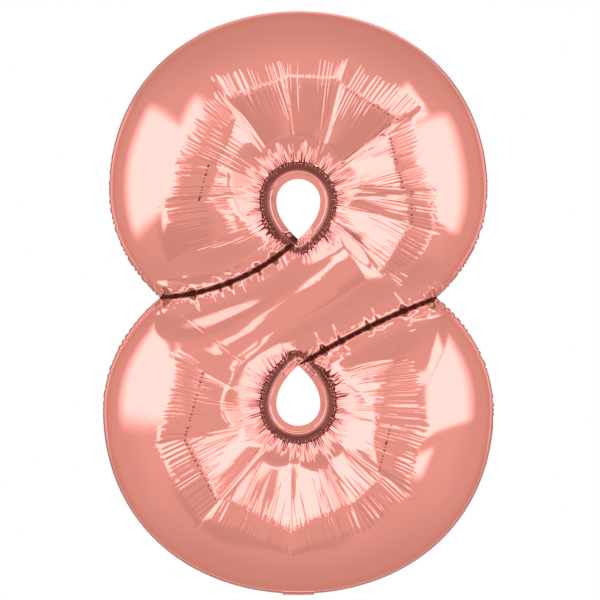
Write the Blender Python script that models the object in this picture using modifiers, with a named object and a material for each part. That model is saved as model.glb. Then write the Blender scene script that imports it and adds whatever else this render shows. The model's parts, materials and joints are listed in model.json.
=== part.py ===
"""Foil number balloon in the shape of an eight, inflated.

Two metallised film panels are heat-sealed face to face along a flat flange. The seal lines turn the eight into one
S-shaped tube: it starts on the upper slit, runs round the upper hole, crosses the middle as a diagonal band, runs
round the lower hole and ends on the lower slit. A self-sealing valve sits in the bottom seam, an inflation tail
folds at that seam, and two hang tabs fold at the shoulders.

Metres, +Z up, front towards -Y, origin at the centre of the bounding box, seam plane at y = 0.
"""

import math
from dataclasses import dataclass

import bmesh
import bpy
import numpy as np
from mathutils import Matrix, Vector

# --- Driving dimensions -------------------------------------------------------------------------------------------
HEIGHT = 0.864  # outer contour, top to bottom: the 34 inch class
UPPER_HALF_WIDTH = 0.2807
LOWER_HALF_WIDTH = 0.2900
UPPER_WIDEST = 0.1681  # levels of the widest places, from the middle of the figure
LOWER_WIDEST = 0.1612
NOTCH_HALF_WIDTH = 0.205  # waist, where the two lobes meet
NOTCH_LEVEL = 0.007
CROWN_FULLNESS = 0.0167  # how far the crown stands outside an ellipse half way up, as a share
HOLE_LEVEL = 0.1505  # centre of each hole's round part, from the middle of the figure
HOLE_RADIUS = 0.0326
HOLE_DROP = 0.0570  # from the centre of the round part to the cusp of the teardrop
UPPER_SLIT_BOW = 0.020  # sag of each slit towards the diagonal band
LOWER_SLIT_BOW = 0.006
FULLNESS = 0.86  # height of the inflated tube against a round section

FILM = 0.0004  # stands in for a 0.03 mm laminate
VALVE_FILM = 0.0003
GAP = 0.0003  # clearance between neighbouring solids
EDGE_FLANGE = 0.005  # sealed margin round the outer contour
HOLE_FLANGE = 0.008  # sealed margin round each hole
SLIT_HALF = 0.0025  # half-width of the seal along each slit
SEAL_MARGIN = 0.0005  # the seal stops this far inside its flange

NECK_WIDTH = 0.034
NECK_GAP_HALF = 0.021  # half-width of the break in the bottom seal that lets the valve through
LEAF_LENGTH = 0.110
LEAF_TIP_WIDTH = 0.028
LEAF_ROOT_GAP = 0.001  # from the inner edge of the flange to the root of the leaves
TAIL_LENGTH = 0.078
TAIL_ROOT_WIDTH = 0.046
TAIL_MOUTH_WIDTH = 0.052
TAIL_CORNER = 0.006
TAIL_SEAL_WIDTH = 0.0035
INLET_LENGTH = 0.058
TAIL_FOLD_GAP = 0.0016  # flange edge to fold line, and fold line to tail

TAB_WIDTH = 0.034
TAB_LENGTH = 0.027
TAB_THICKNESS = 0.0008
TAB_HOLE_RADIUS = 0.003
TAB_HOLE_FROM_END = 0.0105
TAB_FOLD_GAP = 0.0012
TAB_ANGLE = math.radians(28)  # place of each hang tab on the contour, from the crown

# --- Grid of a panel: rows run along the tube, columns across it --------------------------------------------------
LOBE_ROWS = 32  # steps round one lobe
COLUMNS = 13
SIDE_ROWS = 8  # steps beside a hole while the other edge is already on a slit
FIRST_STEP = 0.0027  # share of a lobe between the slit line and the inner edge of its seal
BOW_FADE_ROWS = 6  # rows over which the bow of a slit dies out
ROW_TURN = 4  # how fast the skewed rows at a slit turn radial
STEEPEST_ROW = 0.6  # sine of the least angle between a row and an edge that the seal's width allows for

# --- Values that follow -------------------------------------------------------------------------------------------
SEAL = 2 * VALVE_FILM + GAP  # the fused seal is as thick as the pair of valve films beside it
FLANGE_FACE = SEAL / 2 + GAP  # inner face of each panel's flange
FLANGE_BACK = FLANGE_FACE + FILM
TAIL_DROP = TAIL_FOLD_GAP + FLANGE_BACK  # how far the folded tail stands below the contour
TOP = (HEIGHT + TAIL_DROP) / 2
BOTTOM = TOP - HEIGHT
MIDDLE = (TOP + BOTTOM) / 2
VALVE_OFFSET = (GAP + VALVE_FILM) / 2  # each valve film's middle, from the seam plane

FIRST_BAND_ROW = LOBE_ROWS + 1  # the left edge reaches the far notch
UPPER_CUSP_ROW = FIRST_BAND_ROW + SIDE_ROWS
LOWER_CUSP_ROW = FIRST_BAND_ROW + COLUMNS
LAST_BAND_ROW = UPPER_CUSP_ROW + COLUMNS
ROWS = LAST_BAND_ROW + LOBE_ROWS + 1

ROSE_GOLD = (0.72, 0.28, 0.20, 1.0)
SEAL_ROSE = (0.62, 0.22, 0.16, 1.0)
CLEAR_FILM = (0.80, 0.82, 0.84, 1.0)


# --- The flat figure ----------------------------------------------------------------------------------------------
@dataclass
class Lobe:
    """One lobe in its own frame: crown up, slit to the lower left. The lower lobe is turned half a turn (side -1)."""

    side: int
    half_width: float
    widest: float
    notch: float
    slit_bow: float

    @property
    def crown_height(self):
        return HEIGHT / 2 - self.widest

    @property
    def waist_height(self):
        """Half-height of the ellipse that leads from the widest place to the notches."""
        return (self.widest - self.notch) / math.sqrt(1 - (NOTCH_HALF_WIDTH / self.half_width) ** 2)

    @property
    def notch_angle(self):
        return math.asin((self.widest - self.notch) / self.waist_height)

    def contour(self, angle):
        """Outer contour: angle 0 is the left widest place, 90 degrees the crown, 180 degrees the right one."""
        c, s = math.cos(angle), math.sin(angle)
        if s < 0:
            return Vector((-self.half_width * c, self.widest + self.waist_height * s))
        swell = 1 + CROWN_FULLNESS * math.sin(2 * angle) ** 2
        return Vector((-self.half_width * swell * c, self.widest + self.crown_height * swell * s))

    def hole(self, angle):
        """Teardrop: a half circle above its centre, a parabola that narrows to the cusp below it."""
        c, s = math.cos(angle), math.sin(angle)
        reach = HOLE_RADIUS
        if s < -1e-9:
            taper = HOLE_RADIUS * (s / HOLE_DROP) ** 2
            reach = (math.sqrt(c * c + 4 * HOLE_RADIUS * taper) - abs(c)) / (2 * taper)
        return Vector((-reach * c, HOLE_LEVEL + reach * s))

    def slit(self, share):
        """Slit line from the cusp (0) to the left notch (1), a quadratic curve that sags towards the band."""
        cusp = Vector((0, HOLE_LEVEL - HOLE_DROP))
        notch = Vector((-NOTCH_HALF_WIDTH, self.notch))
        chord = (notch - cusp).normalized()
        sag = Vector((-chord.y, chord.x)) * self.slit_bow
        return cusp.lerp(notch, share) + sag * 4 * share * (1 - share)

    def contour_angle(self, share):
        """Contour angle from the left notch (share 0) round to the right notch (share 1)."""
        return -self.notch_angle + share * (math.pi + 2 * self.notch_angle)

    def hole_angle(self, share):
        """Hole angle opposite contour_angle(share). It starts at the cusp and soon lies on the same radius."""
        start_skew = math.pi / 2 - self.notch_angle
        right = Vector((NOTCH_HALF_WIDTH, self.notch - HOLE_LEVEL))
        end_skew = self.notch_angle - math.atan2(-right.y, right.x)
        return self.contour_angle(share) - start_skew * (1 - share) ** ROW_TURN - end_skew * share

    def place(self, point, y=0.0):
        """A point of the lobe's frame in the object's frame."""
        return Vector((self.side * point.x, y, MIDDLE + self.side * point.y))


UPPER = Lobe(1, UPPER_HALF_WIDTH, UPPER_WIDEST, NOTCH_LEVEL, UPPER_SLIT_BOW)
LOWER = Lobe(-1, LOWER_HALF_WIDTH, LOWER_WIDEST, -NOTCH_LEVEL, LOWER_SLIT_BOW)


def column_shares(width, inset_left, inset_right):
    """Places of the columns across a row: the cut edge, the seal's inner edge, and a cosine spread between."""
    low, high = inset_left / width, 1 - inset_right / width
    inner = [(1 - math.cos(math.pi * k / (COLUMNS - 2))) / 2 for k in range(COLUMNS - 1)]
    return np.array([0.0, *(low + (high - low) * s for s in inner), 1.0])


def half_edges(own, other, slit_shares):
    """Left and right edge of the rows from own's slit to its cusp row, as points of the object's frame."""
    shares = [0.0, FIRST_STEP] + [k / LOBE_ROWS for k in range(1, LOBE_ROWS + 1)]
    left = [own.place(own.contour(own.contour_angle(s))) for s in shares]
    right = [own.place(own.hole(own.hole_angle(s))) for s in shares]
    last = own.hole_angle(1.0)
    for step in range(1, SIDE_ROWS + 1):
        angle = last + (1.5 * math.pi - last) * step / SIDE_ROWS
        right.append(own.place(own.hole(angle)))
        left.append(other.place(other.slit(slit_shares[step])))
    return left, right


def seal_insets():
    """Width of the seal along the left and the right edge of every row, eased where one seal runs into the next."""
    left = np.full(ROWS + 1, EDGE_FLANGE)
    left[FIRST_BAND_ROW : LOWER_CUSP_ROW + 1] = SLIT_HALF
    left[LOWER_CUSP_ROW + 1 :] = HOLE_FLANGE
    left[1:-1] = (left[:-2] + 2 * left[1:-1] + left[2:]) / 4
    return left, left[::-1]


def ribbon_edges(down_slit):
    """Places (x, z) of the left and the right end of every row.

    The rows that end on a slit have to meet the columns of the tube's end there, so both use down_slit, the shares
    of the slit from its notch (1) to its cusp (0).
    """
    left_a, right_a = half_edges(UPPER, LOWER, down_slit)
    right_b, left_b = half_edges(LOWER, UPPER, down_slit)
    between = range(SIDE_ROWS + 1, COLUMNS)
    left_mid = [LOWER.place(LOWER.slit(down_slit[j])) for j in between]
    right_mid = [UPPER.place(UPPER.slit(down_slit[j])) for j in reversed(between)]
    left = left_a + left_mid + left_b[::-1]
    right = right_a + right_mid + right_b[::-1]
    return np.array([[(p.x, p.z) for p in side] for side in (left, right)])


def unit_tangents(line):
    tangents = np.gradient(line, axis=0)
    return tangents / np.linalg.norm(tangents, axis=1, keepdims=True)


def bend_to_slit(rows, lobe, down_slit):
    """Lays a tube's end on its slit. The second row follows the edge of the seal, and later rows lose the bow."""
    rows[0] = [(p.x, p.z) for p in (lobe.place(lobe.slit(s)) for s in down_slit)]
    chord = rows[0, 0] + np.outer(1 - down_slit, rows[0, -1] - rows[0, 0])
    for row in range(2, BOW_FADE_ROWS):
        rows[row] += (rows[0] - chord) * (1 - row / BOW_FADE_ROWS) ** 2
    across = unit_tangents(rows[0]) @ np.array([[0, 1], [-1, 0]])
    rows[1, 1:-1] = rows[0, 1:-1] + across[1:-1] * SLIT_HALF


def flat_ribbon():
    """Flat places (x, z) of the panel's grid, an array of rows by columns."""
    slit_length = (UPPER.slit(1) - UPPER.slit(0)).length
    down_slit = 1 - column_shares(slit_length, EDGE_FLANGE, HOLE_FLANGE)
    left, right = ribbon_edges(down_slit)
    left_tangents, right_tangents = unit_tangents(left), unit_tangents(right)
    left_inset, right_inset = seal_insets()
    flat = np.zeros((ROWS + 1, COLUMNS + 1, 2))
    for row in range(ROWS + 1):
        span = right[row] - left[row]
        width = np.linalg.norm(span)
        across = np.array([-span[1], span[0]]) / width
        left_lean = max(abs(across @ left_tangents[row]), STEEPEST_ROW)
        right_lean = max(abs(across @ right_tangents[row]), STEEPEST_ROW)
        shares = column_shares(width, left_inset[row] / left_lean, right_inset[row] / right_lean)
        flat[row] = left[row] + np.outer(shares, span)
    bend_to_slit(flat, UPPER, down_slit)
    bend_to_slit(flat[::-1, ::-1], LOWER, down_slit)
    return flat


def membrane(flat):
    """Height of the inflated film over the flat grid: the square root of a membrane's sag is a round tube."""
    points = flat.reshape(-1, 2)
    index = np.arange(len(points)).reshape(ROWS + 1, COLUMNS + 1)
    a, b, c, d = index[:-1, :-1], index[1:, :-1], index[1:, 1:], index[:-1, 1:]
    triangles = np.concatenate([np.stack(t, -1).reshape(-1, 3) for t in ((a, b, c), (a, c, d))])
    stiffness = np.zeros((len(points), len(points)))
    load = np.zeros(len(points))
    for triangle in triangles:
        corners = points[triangle]
        opposite = np.roll(corners, -1, axis=0) - np.roll(corners, -2, axis=0)
        area = abs(opposite[0, 0] * opposite[1, 1] - opposite[0, 1] * opposite[1, 0]) / 2
        stiffness[np.ix_(triangle, triangle)] += opposite @ opposite.T / (4 * max(area, 1e-9))
        load[triangle] += area / 3
    free = index[2:-2, 2:-2].ravel()
    sag = np.zeros(len(points))
    sag[free] = np.linalg.solve(stiffness[np.ix_(free, free)], load[free])
    return FULLNESS * np.sqrt(2 * np.maximum(sag, 0)).reshape(ROWS + 1, COLUMNS + 1)


# --- Blender helpers ----------------------------------------------------------------------------------------------
def clear_scene():
    for obj in list(bpy.data.objects):
        bpy.data.objects.remove(obj)


def make_material(name, colour, roughness, metallic):
    material = bpy.data.materials.new(name)
    material.use_nodes = True
    shader = material.node_tree.nodes["Principled BSDF"]
    shader.inputs["Base Color"].default_value = colour
    shader.inputs["Roughness"].default_value = roughness
    shader.inputs["Metallic"].default_value = metallic
    return material


def add_object(name, data, material, parent=None):
    obj = bpy.data.objects.new(name, data)
    balloon.objects.link(obj)
    data.materials.append(material)
    obj.parent = parent
    return obj


def add_axis(name, matrix):
    """An empty on a fold line, with its local X along the line."""
    empty = bpy.data.objects.new(name, None)
    empty.empty_display_size = 0.02
    balloon.objects.link(empty)
    empty.matrix_world = matrix
    return empty


def grid_mesh(name, rows, columns, place):
    """A grid primitive whose vertices are moved to place(row, column), with doubled points along slits joined."""
    bm = bmesh.new()
    bmesh.ops.create_grid(bm, x_segments=rows, y_segments=columns, size=1)
    for vertex in bm.verts:
        row = round((vertex.co.x + 1) / 2 * rows)
        column = round((vertex.co.y + 1) / 2 * columns)
        vertex.co = place(row, column)
    bmesh.ops.remove_doubles(bm, verts=bm.verts, dist=1e-5)
    bmesh.ops.recalc_face_normals(bm, faces=bm.faces)
    mesh = bpy.data.meshes.new(name)
    bm.to_mesh(mesh)
    bm.free()
    return mesh


def face_towards(mesh, direction):
    """Turns the whole surface over if most of it faces away from direction."""
    if sum((f.normal.dot(direction) * f.area for f in mesh.polygons)) < 0:
        mesh.flip_normals()


def thicken(obj, thickness, offset):
    solidify = obj.modifiers.new("Film thickness", "SOLIDIFY")
    solidify.thickness = thickness
    solidify.offset = offset
    solidify.use_even_offset = False


def panel(name, flat, height, side, material):
    """One formed film panel. side is -1 for the front and +1 for the back."""
    def place(row, column):
        x, z = flat[row, column]
        return Vector((x, side * (FLANGE_FACE + height[row, column]), z))

    mesh = grid_mesh(name, ROWS, COLUMNS, place)
    face_towards(mesh, Vector((0, side, 0)))
    mesh.shade_smooth()
    obj = add_object(name, mesh, material)
    thicken(obj, FILM, 1)
    return obj


def seal_strip(name, path, inner, outer, steps, material):
    """A flat strip in the seam plane. path(share) gives a point and the direction away from the cut edge."""
    def place(row, column):
        point, inward = path(row / steps)
        return point + inward * (outer if column else inner)

    obj = add_object(name, grid_mesh(name, steps, 1, place), material)
    thicken(obj, SEAL, 0)
    return obj


def along(curve, lobe, start, end, turn):
    """A path along one of a lobe's curves. turn is +1 or -1, for the side of the curve that holds the film."""
    def path(share):
        value = start + (end - start) * share
        step = 1e-3 * (1 if end > start else -1)
        before, after = lobe.place(curve(value - step)), lobe.place(curve(value + step))
        tangent = (after - before).normalized()
        return lobe.place(curve(value)), Vector((tangent.z, 0, -tangent.x)) * turn

    return path


def plate(name, outline, thickness, middle, material, parent, holes=()):
    """A flat plate in its parent's XZ plane, from a filled 2D curve. middle is the y of its mid-plane."""
    curve = bpy.data.curves.new(name, "CURVE")
    curve.dimensions = "2D"
    curve.fill_mode = "BOTH"
    curve.extrude = thickness / 2
    for loop in (outline, *holes):
        spline = curve.splines.new("POLY")
        spline.points.add(len(loop) - 1)
        for point, (x, z) in zip(spline.points, loop):
            point.co = (x, z, 0, 1)
        spline.use_cyclic_u = True
    obj = add_object(name, curve, material, parent)
    obj.rotation_euler = (math.pi / 2, 0, 0)
    obj.location = (0, middle, 0)
    return obj


def arc(centre, radius, start, end, steps):
    angles = [math.radians(start + (end - start) * k / steps) for k in range(steps + 1)]
    return [(centre[0] + radius * math.cos(a), centre[1] + radius * math.sin(a)) for a in angles]


def rectangle(left, right, low, high):
    return [(left, low), (right, low), (right, high), (left, high)]


# --- Sub-parts ----------------------------------------------------------------------------------------------------
def build_panels():
    flat = flat_ribbon()
    height = membrane(flat)
    panel("front_panel", flat, height, -1, foil)
    panel("back_panel", flat, height, 1, foil)


def build_edge_seals():
    """The seal round the outer contour: one strip over the upper lobe, two round the lower one, open at the neck."""
    low, high = SEAL_MARGIN, EDGE_FLANGE - SEAL_MARGIN
    notch_gap = 0.03  # radians of contour left out beside a notch
    start, end = UPPER.contour_angle(0) + notch_gap, UPPER.contour_angle(1) - notch_gap
    seal_strip("upper_edge_seal", along(UPPER.contour, UPPER, start, end, 1), low, high, 40, seal_film)

    start, end = LOWER.contour_angle(0) + notch_gap, LOWER.contour_angle(1) - notch_gap
    neck = math.acos(NECK_GAP_HALF / LOWER.half_width)
    right_side = along(LOWER.contour, LOWER, start, neck, 1)
    left_side = along(LOWER.contour, LOWER, math.pi - neck, end, 1)
    seal_strip("lower_right_edge_seal", right_side, low, high, 22, seal_film)
    seal_strip("lower_left_edge_seal", left_side, low, high, 22, seal_film)


def build_hole_and_slit_seals():
    low, high = SEAL_MARGIN, HOLE_FLANGE - SEAL_MARGIN
    cusp_gap = 0.10  # radians of the hole left out on each side of the cusp
    start, end = -math.pi / 2 + cusp_gap, 1.5 * math.pi - cusp_gap
    half = SLIT_HALF - SEAL_MARGIN
    for lobe, name in ((UPPER, "upper"), (LOWER, "lower")):
        ring = along(lobe.hole, lobe, start, end, -1)
        seal_strip(f"{name}_hole_seal", ring, low, high, 28, seal_film)
        line = along(lobe.slit, lobe, 0.07, 0.94, 1)
        seal_strip(f"{name}_slit_seal", line, -half, half, 12, seal_film)


def build_valve():
    """Two thin films, one on each panel, open to the tail below. They run free inside the tube as two leaves."""
    flange = rectangle(-NECK_WIDTH / 2, NECK_WIDTH / 2, BOTTOM + SEAL_MARGIN, BOTTOM + EDGE_FLANGE)
    root = BOTTOM + EDGE_FLANGE + LEAF_ROOT_GAP
    leaf = [
        (-NECK_WIDTH / 2, 0),
        (NECK_WIDTH / 2, 0),
        (LEAF_TIP_WIDTH / 2, LEAF_LENGTH),
        (-LEAF_TIP_WIDTH / 2, LEAF_LENGTH),
    ]
    for name, side in (("front", -1), ("back", 1)):
        middle = side * VALVE_OFFSET
        plate(f"valve_neck_{name}", flange, VALVE_FILM, middle, clear_film, None)
        axis = add_axis(f"valve_{name}_axis", Matrix.Translation((0, middle, root)))
        plate(f"valve_leaf_{name}", leaf, VALVE_FILM, 0, clear_film, axis)


def build_tail():
    """Inflation tail: an open sleeve of both panels' film with the valve's inlet inside, folded to the back."""
    fold = Matrix.Translation((0, 0, BOTTOM - TAIL_FOLD_GAP)) @ Matrix.Rotation(math.pi / 2, 4, "X")
    axis = add_axis("tail_fold_axis", fold)
    root, mouth = -TAIL_FOLD_GAP, -TAIL_FOLD_GAP - TAIL_LENGTH
    half_root, half_mouth = TAIL_ROOT_WIDTH / 2, TAIL_MOUTH_WIDTH / 2
    corner_x, corner_z = half_mouth - TAIL_CORNER, mouth + TAIL_CORNER
    outline = [(half_root, root), (-half_root, root)]
    outline += arc((-corner_x, corner_z), TAIL_CORNER, 180, 270, 5)
    outline += arc((corner_x, corner_z), TAIL_CORNER, 270, 360, 5)
    inlet = rectangle(-NECK_WIDTH / 2, NECK_WIDTH / 2, root - INLET_LENGTH, root)
    for name, side in (("front", -1), ("back", 1)):
        middle = side * (FLANGE_FACE + FILM / 2)
        plate(f"tail_film_{name}", outline, FILM, middle, foil, axis)
        plate(f"valve_inlet_{name}", inlet, VALVE_FILM, side * VALVE_OFFSET, clear_film, axis)

    outer = half_root - SEAL_MARGIN
    strip = rectangle(outer - TAIL_SEAL_WIDTH, outer, corner_z, root - SEAL_MARGIN)
    mirrored = [(-x, z) for x, z in strip]
    plate("tail_seal_right", strip, SEAL, 0, seal_film, axis)
    plate("tail_seal_left", mirrored, SEAL, 0, seal_film, axis)


def build_hang_tab(name, angle):
    """A punched tab of fused film on the upper contour, folded to the back about the contour's tangent."""
    point = UPPER.place(UPPER.contour(angle))
    behind, ahead = (UPPER.place(UPPER.contour(angle + step)) for step in (-1e-3, 1e-3))
    tangent = (ahead - behind).normalized()
    outward = tangent.cross(Vector((0, 1, 0)))
    turned = Matrix((tangent, Vector((0, 1, 0)), outward)).transposed().to_4x4()
    fold = Matrix.Translation(point + outward * TAB_FOLD_GAP) @ turned @ Matrix.Rotation(-math.pi / 2, 4, "X")
    axis = add_axis(f"{name}_axis", fold)
    round_radius = TAB_WIDTH / 2
    shoulder = TAB_FOLD_GAP + TAB_LENGTH - round_radius
    outline = [(-round_radius, TAB_FOLD_GAP), (round_radius, TAB_FOLD_GAP)]
    outline += arc((0, shoulder), round_radius, 0, 180, 14)
    hole_centre = (0, TAB_FOLD_GAP + TAB_LENGTH - TAB_HOLE_FROM_END)
    hole = arc(hole_centre, TAB_HOLE_RADIUS, 0, 345, 23)
    plate(name, outline, TAB_THICKNESS, 0, foil, axis, holes=[hole])


clear_scene()
balloon = bpy.data.collections.new("foil_number_balloon")
bpy.context.scene.collection.children.link(balloon)
foil = make_material("rose_gold_foil", ROSE_GOLD, 0.12, 1.0)
seal_film = make_material("fused_seal", SEAL_ROSE, 0.35, 0.0)
clear_film = make_material("clear_valve_film", CLEAR_FILM, 0.25, 0.0)

build_panels()
build_edge_seals()
build_hole_and_slit_seals()
build_valve()
build_tail()
build_hang_tab("left_hang_tab", math.pi / 2 - TAB_ANGLE)
build_hang_tab("right_hang_tab", math.pi / 2 + TAB_ANGLE)
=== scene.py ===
"""Looks of the foil number balloon: crinkled rose-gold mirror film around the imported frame.

The two panels are rebuilt here as fine sheets. Their flat outline is the frame's, and their height is a
membrane solved over it. Every crease is a displacement that follows the film's own directions: round the
holes, along the band and across the slits. Metres, front towards -Y, seam plane at y = 0.
"""

import json
import math
from dataclasses import dataclass

import bpy
import numpy as np
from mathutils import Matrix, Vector


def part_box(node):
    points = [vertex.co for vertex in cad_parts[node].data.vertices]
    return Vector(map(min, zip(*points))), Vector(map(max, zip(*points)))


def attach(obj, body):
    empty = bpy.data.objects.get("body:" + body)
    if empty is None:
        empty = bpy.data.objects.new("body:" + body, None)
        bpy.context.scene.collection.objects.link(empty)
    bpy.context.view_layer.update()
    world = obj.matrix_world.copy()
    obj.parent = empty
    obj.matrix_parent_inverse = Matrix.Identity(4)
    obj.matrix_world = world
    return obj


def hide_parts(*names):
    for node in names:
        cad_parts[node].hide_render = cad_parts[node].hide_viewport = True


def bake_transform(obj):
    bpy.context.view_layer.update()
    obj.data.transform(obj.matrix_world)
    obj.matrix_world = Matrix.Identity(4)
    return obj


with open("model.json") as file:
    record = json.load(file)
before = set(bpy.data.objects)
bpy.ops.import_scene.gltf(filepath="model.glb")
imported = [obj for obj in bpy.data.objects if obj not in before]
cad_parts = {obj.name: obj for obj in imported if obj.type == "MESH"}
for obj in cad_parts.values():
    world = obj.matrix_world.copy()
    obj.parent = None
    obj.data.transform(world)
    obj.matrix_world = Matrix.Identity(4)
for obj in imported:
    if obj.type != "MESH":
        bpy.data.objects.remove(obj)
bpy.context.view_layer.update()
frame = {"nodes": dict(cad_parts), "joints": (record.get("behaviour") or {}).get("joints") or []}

# --- Sizes from the frame ---
PANEL_LOW, PANEL_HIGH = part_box("front_panel")
TOP, BOTTOM = PANEL_HIGH.z, PANEL_LOW.z
HEIGHT = TOP - BOTTOM
MIDDLE = (TOP + BOTTOM) / 2
HALF_DEPTH = -PANEL_LOW.y
LOWER_HALF_WIDTH = PANEL_HIGH.x
SEAL_INSET = 0.0005  # the frame's seals stop this far inside the outline
UPPER_HALF_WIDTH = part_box("upper_edge_seal")[1].x + SEAL_INSET
CREASE_ROOM = 0.002  # kept free within the frame's depth

# --- Proportions of the outline, as shares of the height ---
UPPER_WIDEST = 0.1946 * HEIGHT  # levels from the middle of the figure
LOWER_WIDEST = 0.1866 * HEIGHT
NOTCH_HALF_WIDTH = 0.2373 * HEIGHT
NOTCH_LEVEL = 0.0081 * HEIGHT
HOLE_LEVEL = 0.1742 * HEIGHT
HOLE_RADIUS = 0.0377 * HEIGHT
HOLE_DROP = 0.0660 * HEIGHT
UPPER_SLIT_BOW = 0.0231 * HEIGHT
LOWER_SLIT_BOW = 0.0069 * HEIGHT
CROWN_FULLNESS = 0.0167

# --- Film ---
EDGE_FLANGE = 0.003
HOLE_FLANGE = 0.0105
SLIT_HALF = 0.0012
FLANGE_LEVEL = 0.0006  # of each panel from the seam plane
HOLE_WALL = 0.150  # the film leaves a hole's seam as a parabola: height squared over distance
HOLE_SHOULDER = (0.0310, 0.93)  # then it rises in a line: that line's height at the seam, and its slope
HOLE_SHADOW = (0.0085, 0.0050, 0.78)  # its width from the seam, the length of its teeth, and its depth
SLIT_LIP_WIDTH = 0.0036
SLIT_LIP_HEIGHT = 0.034
SLIT_SLOPE = 0.55  # of the film beyond the lip
SLIT_STEEPENING = (0.022, 9.0)  # distance from where it steepens, and how fast
KNOT_SPACING = 0.036  # between the places where the film pinches into a slit's seam
SLIT_REACH = (0.026, 0.012)  # distances between which two tubes that press together begin to bulge
CREVICE = (0.0028, 0.0014)  # distances from a slit between which its shadow deepens
CREST_ROUNDING = 0.0014
RIM_ROUNDING = 0.0012
SHOULDER_ROUNDING = 0.0008
SLIT_ROUNDING = 0.010

# --- Gores: flat facets round each hole, between radial creases ---
# Each gore: the angles of its first crease round the hole (at the outer and at the inner end, in degrees from
# the lobe's left side), the radii at its two sides where it turns into the smooth outer dome, and its slope
# towards the hole.
UPPER_GORES = (
    (-26, -42, 0.180, 0.190, 0.38),
    (-4, 4, 0.190, 0.184, 0.42),
    (18.6, 25, 0.184, 0.193, 0.42),
    (53.8, 59, 0.216, 0.208, 0.28),
    (84.5, 87, 0.208, 0.214, 0.27),
    (109.8, 116, 0.214, 0.225, 0.28),
    (143.2, 145, 0.202, 0.193, 0.39),
    (177, 169, 0.197, 0.202, 0.34),
    (193.5, 189, 0.202, 0.195, 0.37),
)
UPPER_LAST_CREASE = (221, 214)
LOWER_GORES = (
    (-24, -40, 0.180, 0.183, 0.36),
    (8.6, 14, 0.183, 0.196, 0.38),
    (38.3, 42, 0.203, 0.202, 0.40),
    (60, 63.5, 0.202, 0.214, 0.33),
    (92.6, 97, 0.214, 0.211, 0.31),
    (130, 130, 0.222, 0.211, 0.33),
    (164.8, 159, 0.211, 0.187, 0.20),
)
LOWER_LAST_CREASE = (202.2, 194)
PLEAT_ZONE = 0.040  # width of the zone between a gore's crest and its outer end
OUTER_SLOPE = 0.15  # slope of a facet outside its crest
DOTTED_GORES = (1, 5, 6, 7)  # whose crest shows a painted shade dot in each pleat
INWARD_TURN = (0.19, 0.05)  # radii between which a crease goes from its outer to its inner angle

# --- Grid: stations run along the S-shaped tube, and columns across it ---
LOBE = 32.0  # stations round a lobe
SIDE = 8.0  # stations beside a hole while the other edge is on a slit
SLIT = 13.0  # stations along a slit
LENGTH = 2 * LOBE + SIDE + SLIT
COARSE_ROWS, COARSE_COLUMNS = 170, 26
ROW_REFINE = 12
COLUMN_REFINE = 3
FLANGE_COLUMNS = 3
LEAST_LEAN = 0.6  # sine of the flattest angle between a row and an edge that a seal's width makes up for


@dataclass
class Lobe:
    """One lobe in its own frame: crown up, slit to the lower left. side is -1 for the lower lobe."""

    side: int
    half_width: float
    widest: float
    notch: float
    slit_bow: float
    gores: tuple
    last_crease: tuple

    @property
    def crown_height(self):
        return HEIGHT / 2 - self.widest

    @property
    def waist_height(self):
        return (self.widest - self.notch) / math.sqrt(1 - (NOTCH_HALF_WIDTH / self.half_width) ** 2)

    @property
    def notch_angle(self):
        return math.asin((self.widest - self.notch) / self.waist_height)

    def contour(self, angle):
        """Outer contour: angle 0 is the left widest place and 90 degrees the crown."""
        c, s = np.cos(angle), np.sin(angle)
        swell = np.where(s > 0, 1 + CROWN_FULLNESS * np.sin(2 * angle) ** 2, 1.0)
        rise = np.where(s > 0, self.crown_height, self.waist_height)
        return np.stack([-self.half_width * swell * c, self.widest + rise * swell * s], -1)

    def hole(self, angle):
        """Teardrop: a half circle above its centre, a parabola that narrows to the cusp below it."""
        c, s = np.cos(angle), np.sin(angle)
        taper = HOLE_RADIUS * (np.minimum(s, -1e-4) / HOLE_DROP) ** 2
        parabola = (np.sqrt(c * c + 4 * HOLE_RADIUS * taper) - np.abs(c)) / (2 * taper)
        reach = np.where(s < -1e-4, parabola, HOLE_RADIUS)
        return np.stack([-reach * c, HOLE_LEVEL + reach * s], -1)

    def slit(self, share):
        """Slit line from the cusp (0) to the left notch (1)."""
        cusp = np.array([0, HOLE_LEVEL - HOLE_DROP])
        chord = np.array([-NOTCH_HALF_WIDTH, self.notch]) - cusp
        unit = chord / np.linalg.norm(chord)
        sag = np.array([-unit[1], unit[0]]) * self.slit_bow
        share = np.asarray(share, float)[..., None]
        return cusp + chord * share + sag * 4 * share * (1 - share)

    def contour_angle(self, share):
        return -self.notch_angle + share * (math.pi + 2 * self.notch_angle)

    def hole_angle(self, share):
        """Hole angle opposite contour_angle(share): it leaves the cusp and soon lies on the same radius."""
        start_skew = math.pi / 2 - self.notch_angle
        end_skew = self.notch_angle - math.atan2(HOLE_LEVEL - self.notch, NOTCH_HALF_WIDTH)
        return self.contour_angle(share) - start_skew * (1 - share) ** 4 - end_skew * share

    def place(self, points):
        """Points of the lobe's frame in the object's (x, z)."""
        return self.side * points + np.array([0, MIDDLE])

    def polar(self, flat):
        """Distance from the hole's centre and angle round it, in the lobe's frame, of points (x, z)."""
        own = self.side * (flat - np.array([0, MIDDLE])) - np.array([0, HOLE_LEVEL])
        return np.linalg.norm(own, axis=-1), np.arctan2(own[..., 1], -own[..., 0])


UPPER = Lobe(
    1, UPPER_HALF_WIDTH, UPPER_WIDEST, NOTCH_LEVEL, UPPER_SLIT_BOW, UPPER_GORES, UPPER_LAST_CREASE
)
LOWER = Lobe(
    -1, LOWER_HALF_WIDTH, LOWER_WIDEST, -NOTCH_LEVEL, LOWER_SLIT_BOW, LOWER_GORES, LOWER_LAST_CREASE
)
LOBES = (UPPER, LOWER)


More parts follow.
